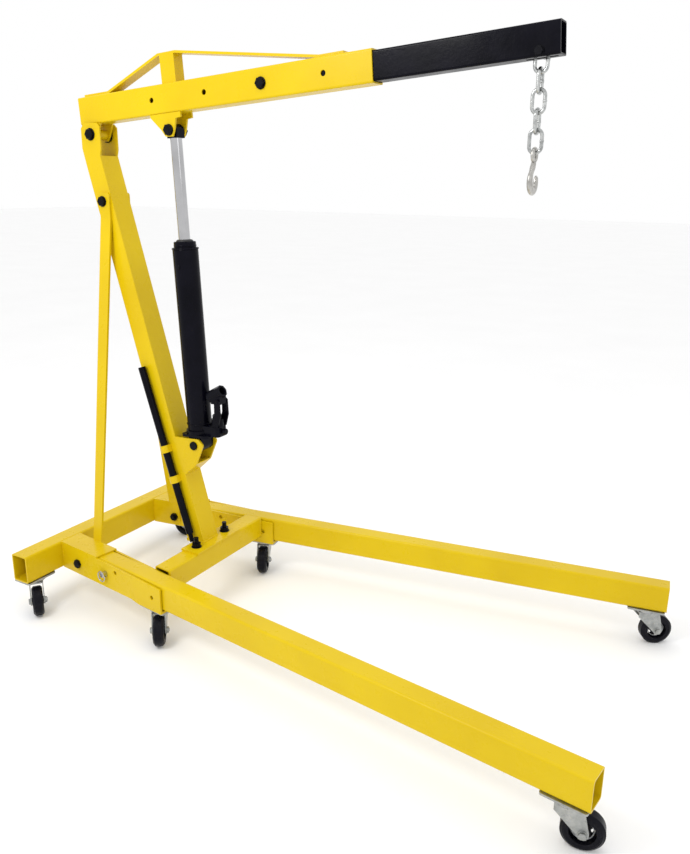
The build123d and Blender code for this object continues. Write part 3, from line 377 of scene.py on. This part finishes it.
def facing(direction):
    """Turn that takes a piece made along Z to lie along a direction."""
    return Vector(direction).normalized().to_track_quat("Z", "Y").to_matrix().to_4x4()


def turned(profile, steps=40):
    """A ring turned on Z from a closed profile of (radius, height) points."""
    bm = bmesh.new()
    rim = [bm.verts.new((r, 0, z)) for r, z in profile]
    loop = [bm.edges.new((a, b)) for a, b in zip(rim, rim[1:] + rim[:1])]
    bmesh.ops.spin(
        bm,
        geom=rim + loop,
        axis=(0, 0, 1),
        cent=(0, 0, 0),
        steps=steps,
        angle=2 * pi,
        use_merge=True,
    )
    return bm


def washer(name, body, at, direction, outer, inner, thick, finish=None):
    edge = 0.25 * thick
    bm = turned(
        [
            (inner, 0.0),
            (outer - edge, 0.0),
            (outer, edge),
            (outer, thick - edge),
            (outer - edge, thick),
            (inner, thick),
        ]
    )
    return place_piece(bm, name, body, finish or OXIDE, facing(direction), at)


def thread(name, body, at, direction, radius, length, pitch, finish=None):
    """Thread crests round a bolt's free end."""
    turns = int(length / pitch)
    profile = [(radius * 0.7, 0.0)]
    for k in range(turns):
        profile += [(radius * 0.99, k * pitch), (radius * 1.09, (k + 0.5) * pitch)]
    profile += [(radius * 0.99, turns * pitch), (radius * 0.7, turns * pitch)]
    bm = turned(profile, 28)
    return place_piece(
        bm, name, body, finish or OXIDE, facing(direction), at, smooth=False
    )


def weld_bead(name, body, corners, size, finish=None, closed=False):
    """A run of overlapping weld ripples under the paint."""
    bm = bmesh.new()
    stops = [Vector(c) for c in corners]
    if closed:
        stops.append(stops[0])
    for start, end in zip(stops, stops[1:]):
        run = end - start
        count = max(2, int(run.length / (0.95 * size)))
        turn = facing(run)
        for k in range(count):
            spot = start + run * ((k + 0.5) / count)
            grow = size * random.uniform(0.86, 1.12)
            bmesh.ops.create_icosphere(
                bm,
                subdivisions=2,
                radius=1.0,
                matrix=Matrix.Translation(spot)
                @ turn
                @ Matrix.Diagonal((grow, grow, 0.8 * grow, 1.0)),
            )
    return place_piece(bm, name, body, finish or YELLOW)


def joint_named(name):
    return next(j for j in frame["joints"] if j["name"] == name)


def middle_of(node):
    low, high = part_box(node)
    return (low + high) / 2


def near_plane(node, axis, value, reach):
    """Box of the node's corners that lie near a level."""
    close = [v.co for v in nodes[node].data.vertices if abs(v.co[axis] - value) < reach]
    low = Vector([min(c[k] for c in close) for k in range(3)])
    high = Vector([max(c[k] for c in close) for k in range(3)])
    return low, high


RIGHT, LEFT = (0, -1, 0), (0, 1, 0)
UP = (0, 0, 1)
SIDES = {"right": -1, "left": 1}
BEAM_CORNER = 6 * MM
STRUT_THICK = 7 * MM
THREAD_SHOWN = 5 * MM
OIL_PLUG_UP = 520 * MM
LINK_WIRE = 4 * MM
PIVOT_SHANK = 8 * MM
STRUT_BOLT_END = 57 * MM


def bolt_dressing(name, body, place, side_y, outer, tail=None):
    """A flange washer under the head, and one under the nut, with thread past it."""
    x, z = place
    washer(f"{name}_head_washer", body, (x, -side_y, z), RIGHT, outer * MM, 7 * MM, 2.0 * MM)
    washer(f"{name}_nut_washer", body, (x, side_y, z), LEFT, outer * MM, 7 * MM, 2.0 * MM)
    if tail:
        start, end, radius = tail
        thread(f"{name}_thread", body, (x, start, z), LEFT, radius, end - start, 1.5 * MM)


def corner_where(node, test):
    """Middle of the corners of a node that pass a test."""
    close = [v.co for v in nodes[node].data.vertices if test(v.co)]
    low = Vector([min(c[k] for c in close) for k in range(3)])
    high = Vector([max(c[k] for c in close) for k in range(3)])
    return (low + high) / 2


def dress_bolts():
    pivot = Vector(joint_named("boom_lift")["pos_m"])
    mast_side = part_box("mast")[1].y
    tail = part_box("pivot_bolt")[1].y
    end = (tail - THREAD_SHOWN, tail, PIVOT_SHANK)
    bolt_dressing("pivot_bolt", "frame", (pivot.x, pivot.z), mast_side, 17.0, end)
    strut = corner_where("side_bolts", lambda c: c.z > 1.0)
    strut_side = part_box("strut_left")[0].y + STRUT_THICK
    tail = STRUT_BOLT_END
    end = (tail - THREAD_SHOWN, tail, PIVOT_SHANK)
    bolt_dressing("strut_bolt", "frame", (strut.x, strut.z), strut_side, 15.0, end)
    boom_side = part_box("boom_tube")[1].y
    lock = middle_of("lock_bolt")
    bolt_dressing("lock_bolt", "boom", (lock.x, lock.z), boom_side, 15.0)
    upper = middle_of("ram_upper_bolt")
    bolt_dressing("ram_upper_bolt", "boom", (upper.x, upper.z), boom_side, 15.0)
    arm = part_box("extension")[1].y
    low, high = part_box("chain_bolt")
    x, z = (low.x + high.x) / 2, (low.z + high.z) / 2
    washer("chain_bolt_washer_right", "extension", (x, -arm, z), RIGHT, 11 * MM, 5 * MM, 1.6 * MM)
    washer("chain_bolt_washer_left", "extension", (x, arm, z), LEFT, 11 * MM, 5 * MM, 1.6 * MM)
    low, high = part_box("foot_bolts")
    x = (low.x + high.x) / 2
    for side, sign in SIDES.items():
        y = sign * (high.y - 12 * MM)
        washer(f"foot_washer_{side}", "frame", (x, y, low.z), UP, 15.5 * MM, 7 * MM, 2 * MM)
        thread(
            f"foot_thread_{side}",
            "frame",
            (x, y, high.z - 15 * MM),
            UP,
            6.0 * MM,
            14.6 * MM,
            1.75 * MM,
        )


def dress_welds():
    low, high = near_plane("mast", 2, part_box("foot_plate")[1].z, 2 * MM)
    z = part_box("foot_plate")[1].z + 0.5 * MM
    weld_bead(
        "mast_foot_weld",
        "frame",
        [(low.x, low.y, z), (high.x, low.y, z), (high.x, high.y, z), (low.x, high.y, z)],
        3.0 * MM,
        closed=True,
    )
    beam_low, beam_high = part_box("cross_beam")
    ends = (("front", beam_high.x, 221 * MM), ("rear", beam_low.x, 213 * MM))
    for name, sign in SIDES.items():
        for end, x, y in ends:
            weld_bead(
                f"cross_beam_weld_{name}_{end}",
                "frame",
                [
                    (x, sign * y, beam_low.z + BEAM_CORNER),
                    (x, sign * y, beam_high.z - BEAM_CORNER),
                ],
                2.6 * MM,
            )
    holes = {m["name"]: Vector(m["pos_m"]) for m in frame["record"]["mounts"]}
    along = (holes["boom_hole_2"] - holes["boom_hole_1"]).normalized()
    along.y = 0
    low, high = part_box("boom_tube")
    front_top = Vector((high.x, 0, high.z))

    def top_of_boom(x, y):
        return (x, y, front_top.z - (front_top.x - x) * along.z / along.x + 0.5 * MM)

    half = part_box("boom_brace")[1].y
    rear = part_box("boom_brace")[0].x + 6 * MM
    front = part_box("boom_brace")[1].x - 6 * MM
    for name, sign in SIDES.items():
        weld_bead(
            f"brace_rear_weld_{name}",
            "boom",
            [top_of_boom(rear, sign * half), top_of_boom(rear + 34 * MM, sign * half)],
            2.4 * MM,
        )
        weld_bead(
            f"brace_front_weld_{name}",
            "boom",
            [top_of_boom(front - 60 * MM, sign * half), top_of_boom(front, sign * half)],
            2.4 * MM,
        )


def dress_ram():
    place = Vector(joint_named("ram_tilt")["pos_m"])
    cyl_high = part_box("ram_cylinder")[1]
    tongue = middle_of("rod_tongue")
    along = Vector((tongue.x - place.x, 0, tongue.z - place.z)).normalized()
    top = place + along * ((cyl_high.z - place.z) / along.z)
    reach = (top - place).length
    collar = place + along * (reach - 4 * MM)
    bm = turned(in_mm((16.6, 0), (24, 0), (24, 4), (21, 7), (17.5, 8), (16.6, 7.4)), 56)
    place_piece(bm, "rod_wiper", "ram", GRIP, facing(along), collar)
    groove = in_mm((30.4, 0), (31.9, 0.8), (31.9, 3.2), (30.4, 4))
    for k, back in enumerate((9.0, 16.0)):
        at = place + along * (reach - (back + 6) * MM)
        gland = turned(groove, 56)
        place_piece(gland, f"gland_ring_{k + 1}", "ram", BLACK, facing(along), at)
    bead = in_mm((35, 0), (37.6, 1.4), (38, 3), (37.6, 4.6), (35, 6))
    for end, up in (("base", 60.5 * MM), ("top", reach - 24 * MM)):
        at = place + along * up
        weld = turned(bead, 56)
        place_piece(weld, f"cylinder_{end}_weld", "ram", BLACK, facing(along), at)
    out = Vector(RIGHT)
    plug = place + along * OIL_PLUG_UP + out * 35.4 * MM
    bm = bmesh.new()
    bmesh.ops.create_cone(
        bm, cap_ends=True, segments=6, radius1=6.5 * MM, radius2=6.5 * MM, depth=5 * MM
    )
    bmesh.ops.bevel(
        bm,
        geom=bm.edges[:],
        offset=0.6 * MM,
        segments=2,
        profile=0.5,
        affect="EDGES",
        material=-1,
    )
    place_piece(bm, "oil_plug", "ram", OXIDE, facing(out), plug, smooth=False)


def dress_chain():
    """Weld seam on one side of each link."""
    swell = in_mm(
        (3.2, -3.4), (4.05, -3), (4.7, -1.4), (4.45, 0), (4.75, 1.3), (4.05, 3), (3.2, 3.4)
    )
    for k in range(1, 6):
        low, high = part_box(f"chain_link_{k}")
        wide_x = (high.x - low.x) > (high.y - low.y)
        spot = (low + high) / 2
        if wide_x:
            spot.x = high.x - LINK_WIRE
        else:
            spot.y = high.y - LINK_WIRE
        seam = turned(swell, 24)
        place_piece(
            seam, f"chain_link_seam_{k}", f"chain_link_{k}", CHAIN, at=spot
        )


DUST_RING = ((24.5, -6.6), (28.6, -6.2), (29.4, -3.6), (28.6, -1), (26, -0.3), (24.5, -0.3))
TYRE_RIB = ((44, -1.1), (44.45, -0.5), (44.45, 0.5), (44, 1.1))
HUB_RING = ((20.5, 3.2), (23, 3.2), (22.4, 5.6), (21.2, 5.6))
TYRE_BEAD = ((33, 14.6), (36.6, 14.6), (36, 15.5), (33.6, 15.5))
FORK_OUTSIDE = 20 * MM


def dress_casters():
    """Dust ring under each top plate, tyre rib, hub rings, tyre beads and axle washers."""
    swivels = {
        joint["name"][len("swivel_") :]: joint
        for joint in frame["joints"]
        if joint["name"].startswith("swivel_")
    }
    for name, joint in swivels.items():
        spin = joint_named(f"spin_{name}")
        pivot, axle = Vector(joint["pos_m"]), Vector(spin["pos_m"])
        fork, wheel = joint["child"], spin["child"]
        under_plate = (pivot.x, pivot.y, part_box(fork)[1].z)
        ring = turned(in_mm(*DUST_RING), 48)
        place_piece(ring, f"dust_ring_{name}", fork, CHROME, at=under_plate)
        across = Vector(spin["axis"]).normalized()
        rib = turned(in_mm(*TYRE_RIB), 64)
        place_piece(rib, f"tyre_rib_{name}", wheel, TYRE, facing(across), axle)
        for tag, sign in (("a", 1), ("b", -1)):
            out = across * sign
            ring = turned(in_mm(*HUB_RING), 48)
            place_piece(
                ring, f"hub_ring_{tag}_{name}", wheel, HUB, facing(out), axle
            )
            bead = turned(in_mm(*TYRE_BEAD), 56)
            place_piece(
                bead, f"tyre_bead_{tag}_{name}", wheel, TYRE, facing(out), axle
            )
            washer(
                f"axle_washer_{tag}_{name}",
                fork,
                axle + out * FORK_OUTSIDE,
                out,
                10.5 * MM,
                5 * MM,
                1.4 * MM,
                ZINC,
            )


EYE_RADIUS, EYE_WIRE = 12.5 * MM, 4.5 * MM
BOWL_RADIUS, BOWL_DROP, BOWL_SIDE = 22 * MM, 52 * MM, 2 * MM


def forge_hook():
    """Drop-forged eye hook: wide through the bowl, thinning to the shank and the tip."""
    low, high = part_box("hook")
    eye = Vector(((low.x + high.x) / 2, 0, high.z - EYE_RADIUS - EYE_WIRE))
    bowl = eye + Vector((0, BOWL_SIDE, -BOWL_DROP))
    stations = [
        (eye + Vector((0, 0, -11 * MM)), 5.4, 4.6),
        (eye + Vector((0, -2 * MM, -18 * MM)), 6.0, 5.4),
        (eye + Vector((0, -6.5 * MM, -26 * MM)), 7.0, 6.0),
    ]
    for degree in range(135, 381, 15):
        turn = radians(degree)
        rise = sin((degree - 100) / 290 * pi)
        spot = bowl + Vector((0, BOWL_RADIUS * cos(turn), BOWL_RADIUS * sin(turn)))
        stations.append((spot, 4.6 + 5.4 * rise, 4.0 + 2.8 * rise))
    turn = radians(386)
    tip = bowl + Vector((0, BOWL_RADIUS * cos(turn), BOWL_RADIUS * sin(turn)))
    stations.append((tip, 2.4, 2.0))
    bm = bmesh.new()
    rings = []
    for k, (spot, wide, thick) in enumerate(stations):
        before = stations[max(k - 1, 0)][0]
        after = stations[min(k + 1, len(stations) - 1)][0]
        along = (after - before).normalized()
        side = Vector((1, 0, 0)).cross(along)
        frame_turn = Matrix((Vector((1, 0, 0)), side, along)).transposed().to_4x4()
        made = bmesh.ops.create_circle(
            bm,
            segments=20,
            radius=MM,
            matrix=Matrix.Translation(spot)
            @ frame_turn
            @ Matrix.Diagonal((thick, wide, 1, 1)),
        )
        rings.append(made["verts"])
    loops = [
        [e for e in bm.edges if e.verts[0] in ring and e.verts[1] in ring]
        for ring in map(set, rings)
    ]
    for first, second in zip(loops, loops[1:]):
        bmesh.ops.bridge_loops(bm, edges=first + second)
    bmesh.ops.holes_fill(bm, edges=loops[0] + loops[-1], sides=0)
    wire = [
        (EYE_RADIUS + EYE_WIRE * cos(2 * pi * k / 16), EYE_WIRE * sin(2 * pi * k / 16))
        for k in range(16)
    ]
    ring = turned(wire, 40)
    ring.transform(Matrix.Translation(eye) @ facing((1, 0, 0)))
    scratch = bpy.data.meshes.new("eye_ring")
    ring.to_mesh(scratch)
    ring.free()
    bm.from_mesh(scratch)
    bpy.data.meshes.remove(scratch)
    hook = place_piece(bm, "forged_hook", "hook", NICKEL)
    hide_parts("hook")


dress_bolts()
dress_welds()
dress_ram()
dress_chain()
forge_hook()
dress_casters()

# ---------------------------------------------------------------- floor, lights, camera


def lay_floor():
    bm = bmesh.new()
    bmesh.ops.create_grid(bm, x_segments=4, y_segments=4, size=30.0)
    mesh = bpy.data.meshes.new("studio_floor")
    bm.to_mesh(mesh)
    bm.free()
    floor = bpy.data.objects.new("studio_floor", mesh)
    mesh.materials.append(pale_floor())
    bpy.context.scene.collection.objects.link(floor)


def area_light(name, place, target, size, watts):
    light = bpy.data.lights.new(name, "AREA")
    light.shape = "RECTANGLE"
    light.size, light.size_y = size
    light.energy = watts
    lamp = bpy.data.objects.new(name, light)
    lamp.location = place
    aim = Vector(target) - Vector(place)
    lamp.rotation_euler = aim.to_track_quat("-Z", "Y").to_euler()
    bpy.context.scene.collection.objects.link(lamp)


def light_studio():
    world = bpy.data.worlds.new("studio")
    world.use_nodes = True
    world.node_tree.nodes["Background"].inputs["Color"].default_value = (1, 1, 1, 1)
    world.node_tree.nodes["Background"].inputs["Strength"].default_value = 1.0
    bpy.context.scene.world = world
    middle = (0.8, 0.0, 0.7)
    boom = (-0.35, 0.0, 1.45)
    area_light("key_front_right", (-0.7, -1.7, 2.2), boom, (0.7, 0.7), 21.0)
    area_light("fill_front", (3.6, -1.6, 2.2), middle, (1.2, 1.2), 4.0)
    area_light("top_soft", (0.2, 0.3, 3.6), boom, (1.8, 1.8), 12.0)


CAMERA_PLACE = (1.0408, -1.7806, 1.2608)
CAMERA_YAW, CAMERA_PITCH, CAMERA_ROLL = 29.242, -16.932, 0.69
CAMERA_LENS = 33.80


def set_camera():
    camera = bpy.data.cameras.new("camera")
    camera.sensor_width = 36.0
    camera.lens = CAMERA_LENS
    camera.clip_start = 0.02
    camera.clip_end = 60.0
    eye = bpy.data.objects.new("camera", camera)
    turn = (
        Matrix.Rotation(radians(CAMERA_YAW), 4, "Z")
        @ Matrix.Rotation(radians(90 + CAMERA_PITCH), 4, "X")
        @ Matrix.Rotation(radians(CAMERA_ROLL), 4, "Z")
    )
    eye.matrix_world = Matrix.Translation(CAMERA_PLACE) @ turn
    bpy.context.scene.collection.objects.link(eye)
    bpy.context.scene.camera = eye


lay_floor()
light_studio()
bpy.context.scene.view_settings.view_transform = "Standard"
set_camera()
